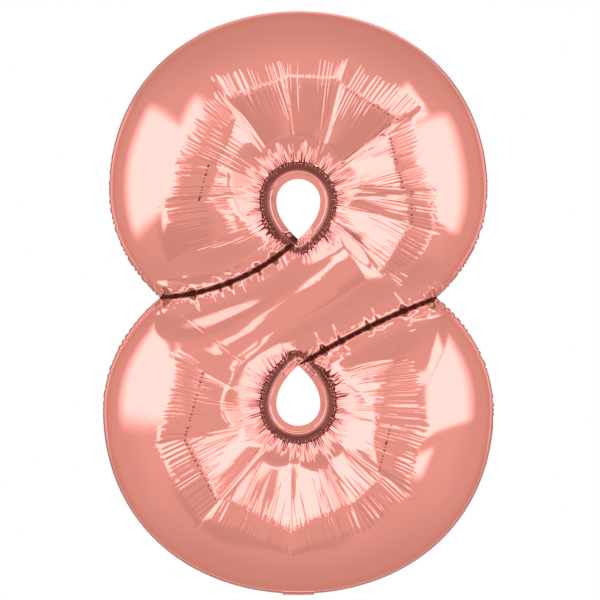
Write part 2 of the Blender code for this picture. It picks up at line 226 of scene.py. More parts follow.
# --- Small numeric tools ---
def smooth(x, low, high):
    """Smooth step from 0 at low to 1 at high. low may be the larger."""
    t = np.clip((x - low) / (high - low), 0, 1)
    return t * t * (3 - 2 * t)


def window(x, start, full, fade, end):
    """1 between full and fade, and 0 before start and after end."""
    return smooth(x, start, full) * smooth(x, end, fade)


def noise(x, wavelength, seed, spread=0.35, waves=9):
    """Smooth noise along x with about the given wavelength, unit variance."""
    rng = np.random.default_rng(seed)
    total = np.zeros_like(np.asarray(x, float))
    for _ in range(waves):
        length = wavelength * math.exp(rng.normal(0, spread))
        total += np.sin(2 * np.pi * x / length + rng.uniform(0, 2 * np.pi))
    return total * math.sqrt(2 / waves)


def noise_2d(x, y, wavelength, seed, spread=0.3, waves=14):
    """Smooth noise over a plane, unit variance."""
    rng = np.random.default_rng(seed)
    total = np.zeros_like(np.asarray(x, float))
    for _ in range(waves):
        length = wavelength * math.exp(rng.normal(0, spread))
        heading = rng.uniform(0, np.pi)
        along = x * math.cos(heading) + y * math.sin(heading)
        total += np.sin(2 * np.pi * along / length + rng.uniform(0, 2 * np.pi))
    return total * math.sqrt(2 / waves)


def spline_refine(values, factor):
    """Natural cubic spline through values along axis 0, at factor steps for each of theirs."""
    n = len(values)
    system = np.diag(np.full(n, 4.0)) + np.diag(np.ones(n - 1), 1) + np.diag(np.ones(n - 1), -1)
    system[0, :2] = 1, 0
    system[-1, -2:] = 0, 1
    bend = np.zeros_like(values)
    bend[1:-1] = 6 * (values[2:] - 2 * values[1:-1] + values[:-2])
    second = np.linalg.solve(system, bend)
    place = np.arange((n - 1) * factor + 1) / factor
    low = np.minimum(place.astype(int), n - 2)
    t = (place - low).reshape(-1, *[1] * (values.ndim - 1))
    a, b = values[low], values[low + 1]
    sa, sb = second[low], second[low + 1]
    return (1 - t) * a + t * b + (((1 - t) ** 3 - (1 - t)) * sa + (t**3 - t) * sb) / 6


# --- The flat figure as a ribbon ---
def lobe_share(station):
    """Share of a lobe's contour at a station. They crowd towards the slit, where the film is steep."""
    crowd = 0.08
    x = np.clip(station / LOBE, 0, 1)
    return np.where(x < crowd, x * x / (2 * crowd), x - crowd / 2) / (1 - crowd / 2)


def left_edge(lobe, other, stations):
    """The ribbon's left edge from lobe's notch: lobe's contour, other's slit, other's hole."""
    on_contour = lobe.place(lobe.contour(lobe.contour_angle(lobe_share(stations))))
    on_slit = other.place(other.slit(np.clip(1 - (stations - LOBE) / SLIT, 0, 1)))
    back = LENGTH - stations
    last = other.hole_angle(1.0)
    angle = np.where(
        back < LOBE,
        other.hole_angle(lobe_share(back)),
        last + (1.5 * np.pi - last) * np.clip((back - LOBE) / SIDE, 0, 1),
    )
    on_hole = other.place(other.hole(angle))
    where = stations[:, None]
    return np.where(where < LOBE, on_contour, np.where(where < LOBE + SLIT, on_slit, on_hole))


def flange_widths(stations):
    """Width of the seal at the left edge of each station, eased where one seal runs into the next."""
    to_slit = smooth(stations, LOBE - 0.8, LOBE + 0.3)
    to_hole = smooth(stations, LOBE + SLIT - 0.3, LOBE + SLIT + 0.8)
    return EDGE_FLANGE * (1 - to_slit) + SLIT_HALF * to_slit * (1 - to_hole) + HOLE_FLANGE * to_hole


def unit(vectors):
    """The same vectors, 1 long."""
    return vectors / np.linalg.norm(vectors, axis=-1, keepdims=True)


def turned(vectors):
    """The same vectors, turned a right angle."""
    return np.stack([-vectors[..., 1], vectors[..., 0]], -1)


@dataclass
class Ribbon:
    stations: np.ndarray
    cut_left: np.ndarray
    cut_right: np.ndarray
    inner: np.ndarray  # rows by columns of (x, z) between the two seam lines
    ends: list  # the slit lines that the first and the last row run along


def seam_line(edge, inwards, widths):
    """The inflated part's end on every row, a seal's width from the cut edge."""
    lean = np.abs(np.sum(turned(inwards) * unit(np.gradient(edge, axis=0)), -1))
    return edge + inwards * (widths / np.maximum(lean, LEAST_LEAN))[:, None]


def bend_ends(inner, stations, share):
    """Bends the first and last rows to the slits, and their neighbours less. Returns the slit lines."""
    lines = []
    for lobe, rows in ((UPPER, inner), (LOWER, inner[::-1, ::-1])):
        chord = rows[0].copy()
        from_notch = np.linalg.norm(chord - lobe.place(lobe.slit(1.0)), axis=1)
        slit_length = np.linalg.norm(lobe.slit(1.0) - lobe.slit(0.0))
        line = lobe.place(lobe.slit(np.clip(1 - from_notch / slit_length, 0, 1)))
        normal = turned(unit(np.gradient(line, axis=0)))
        shift = line + normal * SLIT_HALF - chord
        ends = smooth(share, 0, 0.02) * smooth(share, 1, 0.98)
        shift *= np.maximum(ends, 0.35)[:, None]
        fade = (1 - np.clip(stations / (0.2 * LOBE), 0, 1)) ** 2
        rows += shift[None] * fade[:, None, None]
        lines.append(line)
    return [lines[0], lines[1][::-1]]


def ribbon(rows, columns):
    """The flat film between its seam lines, rows + 1 by columns + 1 points."""
    stations = np.linspace(0, LENGTH, rows + 1)
    left = left_edge(UPPER, LOWER, stations)
    right = left_edge(LOWER, UPPER, LENGTH - stations)
    across = unit(right - left)
    start = seam_line(left, across, flange_widths(stations))
    end = seam_line(right, -across, flange_widths(LENGTH - stations))
    share = (1 - np.cos(np.linspace(0, np.pi, columns + 1))) / 2
    inner = start[:, None] + (end - start)[:, None] * share[None, :, None]
    ends = bend_ends(inner, stations, share)
    return Ribbon(stations, left, right, inner, ends)


def membrane(flat):
    """Height of the inflated film: the square root of a membrane's sag gives round sections."""
    rows, columns = flat.shape[0] - 1, flat.shape[1] - 1
    points = flat.reshape(-1, 2)
    index = np.arange(len(points)).reshape(rows + 1, columns + 1)
    a, b, c, d = index[:-1, :-1], index[1:, :-1], index[1:, 1:], index[:-1, 1:]
    corner_sets = ((a, b, c), (a, c, d), (a, b, d), (b, c, d))
    triangles = np.concatenate([np.stack(t, -1).reshape(-1, 3) for t in corner_sets])
    corners = points[triangles]
    opposite = np.roll(corners, -1, axis=1) - np.roll(corners, -2, axis=1)
    area = np.abs(opposite[:, 0, 0] * opposite[:, 1, 1] - opposite[:, 0, 1] * opposite[:, 1, 0]) / 2
    local = np.einsum("tik,tjk->tij", opposite, opposite) / (4 * np.maximum(area, 1e-9))[:, None, None]
    stiffness = np.zeros((len(points), len(points)))
    rows_index = np.repeat(triangles, 3, axis=1).ravel()
    columns_index = np.tile(triangles, (1, 3)).ravel()
    np.add.at(stiffness, (rows_index, columns_index), local.ravel())
    pull = np.zeros(len(points))
    np.add.at(pull, triangles.ravel(), np.repeat(area / 3, 3))
    free = index[1:-1, 1:-1].ravel()
    sag = np.zeros(len(points))
    sag[free] = np.linalg.solve(stiffness[np.ix_(free, free)], pull[free])
    return sag.reshape(rows + 1, columns + 1)


def inflated():
    """The fine ribbon and its height, scaled to the frame's depth."""
    sag = membrane(ribbon(COARSE_ROWS, COARSE_COLUMNS).inner)
    fine = spline_refine(sag, ROW_REFINE)
    fine = spline_refine(fine.T, COLUMN_REFINE).T
    height = np.sqrt(np.maximum(fine, 0))
    height *= (HALF_DEPTH - CREASE_ROOM) / height.max()
    return ribbon(COARSE_ROWS * ROW_REFINE, COARSE_COLUMNS * COLUMN_REFINE), height


# --- Shape of the inflated film ---
def soft_min(a, b, reach):
    """The smaller of two heights, rounded where they come within reach of each other."""
    share = np.clip(0.5 + 0.5 * (b - a) / reach, 0, 1)
    return b + (a - b) * share - reach * share * (1 - share)


def distance_to(curve, points):
    """Distance in the plane from every point of a grid to a curve given as a dense line of points."""
    result = np.empty(points.shape[:2])
    for row, line in enumerate(points):
        result[row] = np.sqrt(((line[:, None] - curve[None]) ** 2).sum(-1).min(1))
    return result


@dataclass
class Gores:
    """Where every point of the film lies within the gores of one lobe."""

    radius: np.ndarray
    angle: np.ndarray
    number: np.ndarray  # which gore
    share: np.ndarray  # across the gore, 0 at its first crease
    middle: np.ndarray  # angle of the gore's middle
    depth: np.ndarray  # distance inwards from the gore's outer end, at right angles to it
    slope: np.ndarray  # towards the hole
    crest: np.ndarray  # depth less that of the gore's crest
    presence: np.ndarray


def crease_angles(lobe, radius):
    """Angle of every crease at the given radii, in radians."""
    outer, inner = np.array([gore[:2] for gore in lobe.gores] + [lobe.last_crease]).T
    return np.radians(outer + (inner - outer) * smooth(radius, *INWARD_TURN)[..., None])


def find_gores(lobe, flat, stations):
    """Every point's place in the gores of a lobe. stations count from the lobe's own slit."""
    radius, angle = lobe.polar(flat)
    angle = np.where(angle < -np.pi / 2, angle + 2 * np.pi, angle)
    bounds = crease_angles(lobe, radius)
    number = np.clip((angle[..., None] > bounds).sum(-1) - 1, 0, len(lobe.gores) - 1)
    first = np.take_along_axis(bounds, number[..., None], -1)[..., 0]
    second = np.take_along_axis(bounds, number[..., None] + 1, -1)[..., 0]
    share = (angle - first) / (second - first)
    middle = (first + second) / 2
    within = np.clip(angle, first, second)
    rim_first, rim_second, slope = np.array(lobe.gores)[:, 2:].T
    rim_first, rim_second, slope = rim_first[number], rim_second[number], slope[number]
    chord = rim_first * np.sin(within - first) + rim_second * np.sin(second - within)
    line = rim_first * rim_second * np.sin(second - first) / chord
    depth = (line - radius) * np.cos(within - middle)
    start, end = bounds[..., 0], bounds[..., -1]
    presence = window(angle, start - 0.25, start + 0.1, end - 0.03, end + 0.2)
    presence = presence * smooth(stations, LOBE + 7, LOBE)[:, None]
    zone = PLEAT_ZONE * np.random.default_rng(5).uniform(0.8, 1.2, 12)[number]
    return Gores(radius, angle, number, share, middle, depth, slope, depth - zone, presence)


def facet_height(gores, height):
    """Height of the flat facets: from the dome up to a crest, then down towards the hole."""
    rim_height = np.empty(len(height))
    for row in range(len(height)):
        order = np.argsort(gores.depth[row])
        rim_height[row] = np.interp(0, gores.depth[row][order], height[row][order])
    rim_height = rim_height[:, None]
    rising = rim_height + OUTER_SLOPE * gores.depth
    falling = rising - (OUTER_SLOPE + gores.slope) * gores.crest
    return soft_min(rising, falling, CREST_ROUNDING)


def blur_rows(values, passes, reach):
    """Running mean along the ribbon."""
    for _ in range(passes):
        padded = np.concatenate([values[:1].repeat(reach + 1, 0), values, values[-1:].repeat(reach, 0)])
        total = np.cumsum(padded, axis=0)
        values = (total[2 * reach + 1 :] - total[: -2 * reach - 1]) / (2 * reach + 1)
    return values


@dataclass
class Seams:
    """Distance of every point of the film from each seam."""

    holes: list
    slits: list
    along_slits: list  # distance along each slit from its cusp
    contour: np.ndarray


def knots(along):
    """How much the film pinches into a slit's seam: 1.6 at each knot, 0 between them."""
    phase = along / KNOT_SPACING + 0.25 * noise(along, 0.11, 8)
    return 1.6 * np.exp(-((phase - np.round(phase)) ** 2) / 0.008)


def find_seams(flat):
    """The distances from all the seams."""
    turn = np.linspace(-np.pi / 2, 1.5 * np.pi, 300)
    holes = [distance_to(lobe.place(lobe.hole(turn)), flat) for lobe in LOBES]
    slits = [distance_to(lobe.place(lobe.slit(np.linspace(0, 1, 240))), flat) for lobe in LOBES]
    shares = np.linspace(0, 1, 260)
    contours = [distance_to(lobe.place(lobe.contour(lobe.contour_angle(shares))), flat) for lobe in LOBES]
    along = []
    for lobe in LOBES:
        cusp, notch = lobe.place(lobe.slit(0.0)), lobe.place(lobe.slit(1.0))
        along.append((flat - cusp) @ unit(notch - cusp))
    return Seams(holes, slits, along, np.minimum(*contours))


def settle(height, gores, seams):
    """The film's height: the membrane, cut down to the facets, the holes' walls and the slits' lips."""
    for lobe_gores in gores:
        facets = facet_height(lobe_gores, height)
        lowered = blur_rows(soft_min(height, facets, RIM_ROUNDING), 2, ROW_REFINE // 6)
        height = height + (lowered - height) * lobe_gores.presence
    for to_slit, along in zip(seams.slits, seams.along_slits):
        away = np.maximum(to_slit - SLIT_HALF, 0)
        rise = np.clip(away / (SLIT_LIP_WIDTH * (1 + knots(along))), 0, 1)
        lip = SLIT_LIP_HEIGHT * np.sqrt(1 - (1 - rise) ** 2) + SLIT_SLOPE * away
        lip += SLIT_STEEPENING[1] * np.maximum(away - SLIT_STEEPENING[0], 0) ** 2
        lowered = soft_min(height, lip, SLIT_ROUNDING)
        pressed = smooth(away, *SLIT_REACH) * smooth(seams.contour, 0.004, 0.022)
        height = lowered + (lip - lowered) * pressed
    for to_hole in seams.holes:
        away = np.maximum(to_hole - HOLE_FLANGE, 0)
        shoulder = HOLE_SHOULDER[0] + HOLE_SHOULDER[1] * away
        wall = soft_min(np.sqrt(HOLE_WALL * away), shoulder, SHOULDER_ROUNDING)
        height = soft_min(height, wall, RIM_ROUNDING)
    return np.maximum(height, 0)


# --- Creases ---
CREASE_DEPTH = 0.0012
CREASE_WIDTH = 0.0022
CREASE_POINT = 0.0004  # half the width of the round at a crease's bottom
PLEAT_WAVE = 0.0066
PLEAT_HEIGHT = 0.00088
PLEAT_RADIUS = 0.17  # where the pleats' wave is as stated, since they fan out
NEEDLE_LENGTH = 0.066  # of the pleats, towards the hole
HOLE_WAVE_COUNT = 62
HOLE_HEIGHT = 0.0009
SLIT_PLEAT_WAVE = 0.0050
SLIT_PLEAT_HEIGHT = 0.0008
KNOT_DEPTH = 0.0012
CRUMPLE_HEIGHT = 0.00028  # of the lips beside the slits
STREAK_HEIGHT = 0.00022
DENT_HEIGHT = 0.0003
SCALLOP = 0.0020
SCALLOP_WAVE = 0.0105
EDGE_PLEAT_HEIGHT = 0.0008


def crease_lines(gores, bounds, rims, seed):
    """A sharp, narrow fold along every crease, with a shallow twin beside it."""
    rng = np.random.default_rng(seed)
    result = np.zeros_like(gores.radius)
    for number, rim in enumerate(rims):
        away = (gores.angle - bounds[..., number]) * gores.radius
        reach = window(gores.radius, 0.045, 0.09, rim - 0.01, rim + 0.018)
        depth = CREASE_DEPTH * rng.uniform(0.6, 1.2) * reach
        result -= depth * np.exp(-np.hypot(away, CREASE_POINT) / CREASE_WIDTH)
        twin = away + rng.choice((-1, 1)) * (0.003 + 0.06 * np.clip(gores.radius - 0.12, 0, None))
        twin_depth = 0.5 * depth * smooth(gores.radius, 0.10, 0.15)
        result -= twin_depth * np.exp(-np.hypot(twin, CREASE_POINT) / (0.5 * CREASE_WIDTH))
    return result


def pleat_phase(gores, seed):
    """Distance across a gore's pleats, and the count of pleats up to there."""
    fan = np.sqrt(np.maximum(gores.radius, 0.02) / PLEAT_RADIUS)
    across = (gores.angle - gores.middle) * PLEAT_RADIUS * fan + gores.number * 0.31
    return across, across / PLEAT_WAVE + 0.3 * noise(across, 0.03, seed)


def crest_pleats(gores, seed):
    """Fine, nearly parallel pleats over each crest. Outside they end together, inside as needles."""
    across, count = pleat_phase(gores, seed + 4)
    end = 0.0024 * noise(across, 0.02, seed)
    needle = NEEDLE_LENGTH + 0.016 * noise(across, 0.045, seed + 1) + 0.014 * noise(across, 0.009, seed + 2)
    reach = window(gores.depth, end - 0.003, end + 0.006, needle - 0.016, needle + 0.006)
    strength = np.clip(0.9 + 0.3 * noise(across, 0.05, seed + 3), 0.4, 1.7)
    cushion = np.abs(np.sin(np.pi * count)) - 0.6
    fade = window(gores.share, 0.0, 0.05, 0.95, 1.0)
    return PLEAT_HEIGHT * strength * reach * fade * cushion


def hole_phase(angle, seed):
    """Phase of the pleats round a hole."""
    return HOLE_WAVE_COUNT * angle + 1.2 * noise(angle, 0.5, seed)


def hole_pleats(gores, seed):
    """Tight pleats that gather the film into the seam ring of a hole."""
    angle = gores.angle
    phase = hole_phase(angle, seed)
    length = 0.070 + 0.006 * noise(angle, 0.35, seed + 1) + 0.005 * noise(angle, 0.05, seed + 2)
    reach = window(gores.radius, 0.048, 0.061, length - 0.004, length + 0.014)
    return HOLE_HEIGHT * reach * np.sin(phase) * np.clip(0.8 + 0.5 * noise(angle, 0.3, seed + 3), 0.1, 2)


def slit_pleats(distance, along, seed):
    """Small pleats across the lips of film beside a slit."""
    length = 0.014 + 0.004 * noise(along, 0.03, seed) + 0.003 * noise(along, 0.006, seed + 4)
    reach = window(distance, 0.001, 0.004, length - 0.004, length + 0.008)
    phase = np.pi * along / SLIT_PLEAT_WAVE + noise(along, 0.03, seed + 1)
    strength = np.clip(0.8 + 0.5 * noise(along, 0.04, seed + 2), 0.2, 2)
    pleats = SLIT_PLEAT_HEIGHT * strength * (np.abs(np.sin(phase)) - 0.6)
    return reach * (pleats - KNOT_DEPTH * knots(along))


def band_streaks(across, along, seed):
    """Long shallow folds that run along the diagonal band."""
    warp = across + 0.08 * along + 0.004 * noise(along, 0.35, seed)
    wave = noise(warp, 0.050, seed + 1) + 0.12 * noise(warp, 0.016, seed + 2)
    return STREAK_HEIGHT * wave * (1 + 0.3 * noise(along, 0.2, seed + 3))


def crease_field(flat, gores, seams, seed):
    """Displacement of every point of the fine ribbon along its normal."""
    result = np.zeros(flat.shape[:2])
    for lobe, lobe_gores, start in zip(LOBES, gores, (seed, seed + 100)):
        bounds = crease_angles(lobe, lobe_gores.radius)
        rims = [gore[2] for gore in lobe.gores] + [lobe.gores[-1][3]]
        own = crease_lines(lobe_gores, bounds, rims, start) + crest_pleats(lobe_gores, start + 20)
        result += own * lobe_gores.presence
        result += hole_pleats(lobe_gores, start + 40) * smooth(lobe_gores.radius, 0.10, 0.08)

    for to_slit, along, start in zip(seams.slits, seams.along_slits, (seed + 300, seed + 310)):
        result += slit_pleats(to_slit - SLIT_HALF, along, start)
        crumple = noise_2d(flat[..., 0], flat[..., 1], 0.014, start + 5) * CRUMPLE_HEIGHT
        result += crumple * smooth(to_slit, 0.020, 0.006) * (0.5 + smooth(along, 0.10, 0.22))

    heading = unit(UPPER.place(UPPER.slit(0.0)) - UPPER.place(UPPER.slit(1.0)))
    centred = flat - np.array([0, MIDDLE])
    along, across = centred @ heading, centred @ turned(heading)
    band = smooth(np.abs(across), 0.075, 0.050) * smooth(np.abs(along), 0.26, 0.17)
    result += band * band_streaks(across, along, seed + 200)

    dents = noise_2d(flat[..., 0], flat[..., 1], 0.13, seed + 400) * DENT_HEIGHT
    near_seam = np.minimum.reduce([seams.contour, *seams.holes, *seams.slits])
    return (result + dents) * smooth(near_seam, 0.001, 0.006)


# --- Meshes ---
def surface_normals(points):
    """Unit normals of a grid of points."""
    along = np.gradient(points, axis=0)
    across = np.gradient(points, axis=1)
    normals = np.cross(along, across)
    return normals / np.maximum(np.linalg.norm(normals, axis=-1, keepdims=True), 1e-12)


def grid_object(name, points, material, flip=False):
    """A smooth mesh of quads through a grid of points."""
    rows, columns = points.shape[0], points.shape[1]
    index = np.arange(rows * columns, dtype=np.int32).reshape(rows, columns)
    quads = np.stack([index[:-1, :-1], index[1:, :-1], index[1:, 1:], index[:-1, 1:]], -1).reshape(-1, 4)
    if flip:
        quads = quads[:, ::-1]
    mesh = bpy.data.meshes.new(name)
    mesh.vertices.add(rows * columns)
    mesh.vertices.foreach_set("co", points.astype(np.float32).ravel())
    mesh.loops.add(quads.size)
    mesh.loops.foreach_set("vertex_index", quads.astype(np.int32).ravel())
    mesh.polygons.add(len(quads))
    mesh.polygons.foreach_set("loop_start", np.arange(0, quads.size, 4, dtype=np.int32))
    mesh.update(calc_edges=True)
    mesh.shade_smooth()
    mesh.materials.append(material)
    obj = bpy.data.objects.new(name, mesh)
    bpy.context.scene.collection.objects.link(obj)
    return obj


def mark(obj, name, values):
    """Keeps one number for each point of a grid object, for its material."""
    attribute = obj.data.attributes.new(name, "FLOAT", "POINT")
    attribute.data.foreach_set("value", values.astype(np.float32).ravel())


def ripple(stations):
    """How much the edge waves at each station's left edge: most beside the notches, faintly elsewhere."""
    first = window(stations, 0.3, 1.0, 3.0, 9.0)
    second = window(stations, LOBE - 6, LOBE - 3, LOBE - 1, LOBE - 0.4)
    return (first + 0.7 * second + 0.05) * smooth(stations, LOBE - 0.2, LOBE - 0.6)


def edge_wave(cut, stations, seed):
    """Waves along one cut edge: below 0 at the pinches, above 0 between them."""
    steps = np.linalg.norm(np.diff(cut, axis=0), axis=1)
    along = np.concatenate([[0], np.cumsum(steps)])
    phase = np.pi * (along / SCALLOP_WAVE + 0.25 * noise(along, 0.05, seed))
    sway = np.clip(0.8 + 0.6 * noise(along, 0.05, seed + 1), 0, 2)
    return (2 * np.abs(np.sin(phase)) - 1.2) * ripple(stations) * sway


def cut_edges(fine):
    """Each cut edge: its points, its column of the grid, its stations, which way is outwards, and a seed."""
    return (
        (fine.cut_left, 0, fine.stations, 1, 61),
        (fine.cut_right, -1, LENGTH - fine.stations, -1, 62),
    )


def scalloped(fine):
    """The two cut edges, drawn in where the film beside them is gathered."""
    result = []
    for cut, _, stations, sign, seed in cut_edges(fine):
        outwards = turned(unit(np.gradient(cut, axis=0))) * sign
        wave = np.minimum(edge_wave(cut, stations, seed), 0.45)
        result.append(cut + outwards * (SCALLOP * wave)[:, None])
    return result


def edge_pleats(fine):
    """Short pleats from the scalloped edges into the film."""
    flat = fine.inner
    result = np.zeros(flat.shape[:2])
    for cut, column, stations, _, seed in cut_edges(fine):
        away = np.linalg.norm(flat - flat[:, column][:, None], axis=-1)
        wave = edge_wave(cut, stations, seed)[:, None]
        result += EDGE_PLEAT_HEIGHT * wave * smooth(away, 0, 0.003) * np.exp(-away / 0.005)
    return result


def with_flanges(values, left, right):
    """A grid of values with columns added at both sides, from the cut edges' values to the seams' values."""
    steps = np.linspace(0, 1, FLANGE_COLUMNS + 1)[:-1].reshape(1, -1, *[1] * (values.ndim - 2))
    first = left[:, None] + (values[:, 0] - left)[:, None] * steps
    last = right[:, None] + (values[:, -1] - right)[:, None] * steps
    return np.concatenate([first, values, last[:, ::-1]], axis=1)


def film_points(fine, height, gores, seams, side, seed):
    """Every point of one panel: the inflated part, its flanges and the strips down to the slits."""
    flat = fine.inner
    height = settle(height, gores, seams)
    base = np.stack([flat[..., 0], height + FLANGE_LEVEL, flat[..., 1]], -1)
    normals = surface_normals(base)
    normals *= np.where(normals[..., 1:2] < 0, -1, 1)
    points = base + normals * crease_field(flat, gores, seams, seed)[..., None]
    points += normals * edge_pleats(fine)[..., None]
    left, right = (np.insert(cut, 1, FLANGE_LEVEL, axis=1) for cut in scalloped(fine))
    points = with_flanges(points, left, right)
    first, last = (np.insert(line, 1, FLANGE_LEVEL, axis=1) for line in fine.ends)
    first, last = (with_flanges(line[None], line[:1], line[-1:]) for line in (first, last))
    first[0, 0], last[0, -1] = points[0, 0], points[-1, -1]
    return np.concatenate([first, points, last]) * np.array([1, side, 1])


def crest_shade_dots(gores, seed):
    """For the material's painted shade dots on the crests: the distance from the crest, and the count of
    pleats.
    """
    crest, count = np.ones_like(gores[0].crest), np.zeros_like(gores[0].crest)
    for lobe_gores, start in zip(gores, (seed + 24, seed + 124)):
        near = np.abs(lobe_gores.crest) < 0.02
        near &= (lobe_gores.presence > 0.9) & np.isin(lobe_gores.number, DOTTED_GORES)
        crest[near] = lobe_gores.crest[near]
        count[near] = pleat_phase(lobe_gores, start)[1][near]
    return crest, count


def painted_shade_field(gores, seams, seed):
    """Painted shade in the slits, in the holes and along the outline. A hole's painted shadow has a tooth
    between each two pleats.
    """
    shade = np.zeros_like(seams.contour)
    for to_slit, along, start in zip(seams.slits, seams.along_slits, (seed + 330, seed + 340)):
        reach = np.clip(0.85 + 0.25 * knots(along) + 0.15 * noise(along, 0.012, start), 0.72, 1.3)
        shade = np.maximum(shade, smooth(to_slit / reach, *CREVICE))

    width, tooth, depth = HOLE_SHADOW
    for lobe_gores, to_hole, start in zip(gores, seams.holes, (seed + 40, seed + 140)):
        angle = lobe_gores.angle
        teeth = np.abs(np.cos(hole_phase(angle, start) / 2)) * (1 + 0.6 * noise(angle, 0.08, start + 5))
        end = width + tooth * teeth
        own = depth * window(to_hole - HOLE_FLANGE, 0, 0.0006, end - 0.0012, end + 0.0012)
        shade = np.maximum(shade, own)
    # painted shade along the outline, just inside the edge flange
    return np.maximum(shade, 0.4 * smooth(seams.contour - EDGE_FLANGE, 0.003, 0.0006))


def build_panel(name, fine, height, gores, seams, side, seed, material):
    """One film panel. side is -1 for the front."""
    points = film_points(fine, height, gores, seams, side, seed)
    panel = grid_object(name, points, material, flip=side > 0)
    # painted shade for the material to mix in: the slits, the holes and the outline
    shade = painted_shade_field(gores, seams, seed)
    # painted shade on the flanges of the outline, none along the slits and holes
    painted_edge_shade = 0.3 * smooth(fine.stations, LOBE - 0.3, LOBE - 0.6)
    shade = with_flanges(shade, np.maximum(shade[:, 0], painted_edge_shade), np.maximum(shade[:, -1], painted_edge_shade[::-1]))
    mark(panel, "painted_shade", np.concatenate([shade[:1], shade, shade[-1:]]))
    # stored for the painted shade dots on the crests
    for key, values in zip(("crest", "pleat"), crest_shade_dots(gores, seed)):
        values = with_flanges(values, values[:, 0], values[:, -1])
        mark(panel, key, np.concatenate([values[:1], values, values[-1:]]))
    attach(panel, "balloon")
    return panel


# --- Inflation tail and hang tabs ---
TAIL = next(joint for joint in frame["joints"] if joint["name"] == "tail_fold")
TAIL_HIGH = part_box("tail_film_back")[1]
TAIL_HALF_ROOT = 0.023
TAIL_GAP = BOTTOM - TAIL["pos_m"][2]  # from the balloon's edge to the fold line, and on to the tail's plates
TAIL_CORNER = 0.006
SEAL_MARGIN = 0.0045  # width of the tail's side seals
SLEEVE_PUFF = 0.0011
KNURL_HEIGHT, KNURL_WAVE = 0.00006, 0.0016
TAB_PUNCH_RADIUS = 0.003
TAB_PUNCH_FROM_END = 0.0105
TAB_GAP = 0.0012  # from the balloon's edge to a tab's fold line
TAB_STEPS, TAB_RINGS = 72, 26


def fold_back(reach, gap, level):
    """Path of a film that leaves the balloon's edge and folds to the back. reach is its length so far.

    Returns the distances outwards from the edge and backwards. level is where the film lies between the
    fold's inside (positive) and its outside.
    """
    turn = 2.2 * gap
    t = np.clip(reach / turn, 0, 1)
    start, corner, end = (0, level), (gap - level, level), (gap - level, gap + level + 0.0008)
    curve = [(1 - t) ** 2 * a + 2 * t * (1 - t) * b + t * t * c for a, b, c in zip(start, corner, end)]
    return curve[0], curve[1] + np.maximum(reach - turn, 0)


def build_tail(material):
    """The tail's two films: a sleeve, sealed at both sides and open at its mouth."""
    half_mouth = TAIL_HIGH.x
    reach = np.linspace(0, 1, 90) ** 1.25 * TAIL_HIGH.y
    share = np.linspace(-1, 1, 61)
    from_mouth = np.clip(reach[-1] - reach, 0, TAIL_CORNER)
    corner = TAIL_CORNER - np.sqrt(TAIL_CORNER**2 - (TAIL_CORNER - from_mouth) ** 2)
    half_width = TAIL_HALF_ROOT + (half_mouth - TAIL_HALF_ROOT) * reach / reach[-1] - corner
    x = share[None] * half_width[:, None]
    reach = np.repeat(reach[:, None], len(share), axis=1)
    edge = LOWER.place(LOWER.contour(np.pi / 2 + share * TAIL_HALF_ROOT / LOWER_HALF_WIDTH))[:, 1]
    edge = BOTTOM + (edge - BOTTOM)[None] * smooth(reach, 0.012, 0)
    sleeve = smooth(half_width[:, None] - np.abs(x), SEAL_MARGIN * 0.9, SEAL_MARGIN + 0.009)
    sleeve = sleeve * smooth(reach, 0.004, 0.03)
    for name, side in (("front", -1), ("back", 1)):
        outwards, backwards = fold_back(reach, TAIL_GAP, side * FLANGE_LEVEL)
        grain = 0.35 * noise_2d(x, reach, 0.016, 40 + side)
        grain += 0.3 * noise(x, 0.009, 50 + side)
        puff = SLEEVE_PUFF * sleeve * (1 + 0.35 * grain)
        press = KNURL_HEIGHT * np.sin(2 * np.pi * reach / KNURL_WAVE) * (1 - sleeve)
        z = edge - outwards + side * (puff + press * smooth(reach, 0.003, 0.006))
        points = np.stack([x, backwards, z], -1)
        film = grid_object(f"tail_{name}", points, material, flip=side < 0)
        mark(film, "crest", np.ones(points.shape[:2]))
        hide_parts(f"tail_film_{name}")
        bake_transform(film)


def tab_rings(half_width, total):
    """Rings of points from a tab's punched hole to its outline: distances across, and from its root."""
    centre = total - TAB_PUNCH_FROM_END
    shoulder = total - half_width
    angle = np.linspace(-np.pi / 2, 1.5 * np.pi, TAB_STEPS + 1)
    c, s = np.cos(angle), np.sin(angle)
    drop = centre - shoulder
    round_end = np.sqrt(half_width**2 - (drop * c) ** 2) - drop * s
    to_side = half_width / np.maximum(np.abs(c), 1e-6)
    to_base = np.where(s < 0, centre / np.maximum(-s, 1e-6), 1e9)
    straight = np.minimum(to_side, to_base)
    far = np.where(centre + round_end * s > shoulder, round_end, straight)
    steps = np.linspace(0, 1, TAB_RINGS)[:, None]
    radius = TAB_PUNCH_RADIUS + (far[None] - TAB_PUNCH_RADIUS) * steps
    return radius * c, np.maximum(centre + radius * s, 0)


def build_hang_tab(name, body, material):
    """A punched tab of fused film, which leaves the balloon's edge and folds to the back."""
    joint = next(j for j in frame["joints"] if j["child"] == body)
    pivot, tangent = Vector(joint["pos_m"]), Vector(joint["axis"])
    outward = Vector((-tangent.z, 0, tangent.x))
    low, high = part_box(name)
    side = 1 if pivot.x > 0 else -1
    across, reach = tab_rings((high.x - low.x) / (2 * tangent.x), high.y)
    outwards, backwards = fold_back(reach, TAB_GAP, 0.5 * TAB_GAP)
    outwards = outwards - across**2 / (2 * UPPER_HALF_WIDTH) * smooth(reach, 0.010, 0)
    outwards = outwards + 0.00025 * noise_2d(across, reach, 0.014, 70 + side) * smooth(reach, 0.002, 0.008)
    start = pivot - outward * TAB_GAP
    points = np.array(start) + across[..., None] * np.array(tangent) + outwards[..., None] * np.array(outward)
    points[..., 1] = backwards - 0.5 * TAB_GAP
    film = grid_object(f"{body}_film", points, material)
    mark(film, "crest", np.ones(points.shape[:2]))
    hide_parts(name)
    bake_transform(film)


